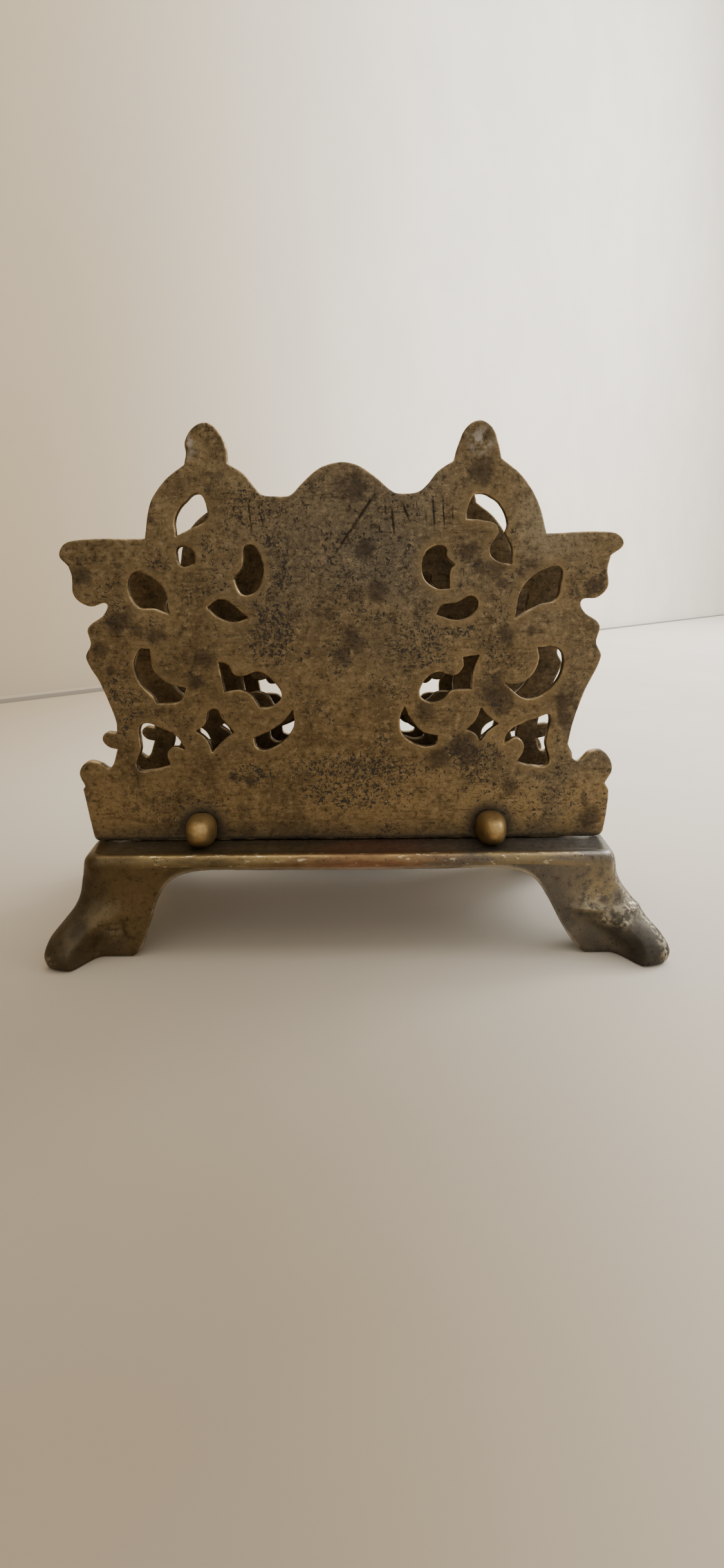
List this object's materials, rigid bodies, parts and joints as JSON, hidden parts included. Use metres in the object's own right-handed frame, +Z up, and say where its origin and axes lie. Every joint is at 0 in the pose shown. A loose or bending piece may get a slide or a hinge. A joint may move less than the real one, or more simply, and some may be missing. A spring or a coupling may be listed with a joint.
{
  "type": "letter rack",
  "caption": "Desk letter rack in cast brass: pierced scrollwork plates on a footed base, clamped by tie rods with ball nuts, with open letter slots between the plates.",
  "frame": {"origin": "middle of the base on the table plane, under the deck", "axes": "+Z up; -Y towards the front, where the letters show and the shortest plate stands; +Y towards the tall back plate; +X is the rack's own left, which is on the left in a view from behind"},
  "size_m": [0.2076, 0.112, 0.1712],
  "materials": {
    "patinated_brass": "cast brass with a mottled olive-brown patina and dark pits, bare on worn edges",
    "base_brass": "cast brass with a greyer, smoother patina, rubbed bright along its rolled edge",
    "rubbed_brass": "turned brass, rubbed bright on the crown and dark at the root",
    "plain_brass": "turned brass, dulled"
  },
  "bodies": {
    "root": {"base": "base_brass", "back_plate": "patinated_brass", "middle_plate": "patinated_brass", "front_plate": "patinated_brass", "tie_rod_left": "plain_brass", "tie_rod_right": "plain_brass", "spacer_front_left": "plain_brass", "spacer_front_right": "plain_brass", "spacer_rear_left": "plain_brass", "spacer_rear_right": "plain_brass", "ball_nut_front_left": "rubbed_brass", "ball_nut_front_right": "rubbed_brass", "ball_nut_rear_left": "rubbed_brass", "ball_nut_rear_right": "rubbed_brass", "plate_screw_back_left": "plain_brass", "plate_screw_back_right": "plain_brass", "plate_screw_middle_left": "plain_brass", "plate_screw_middle_right": "plain_brass", "plate_screw_front_left": "plain_brass", "plate_screw_front_right": "plain_brass"}
  },
  "joints": []
}
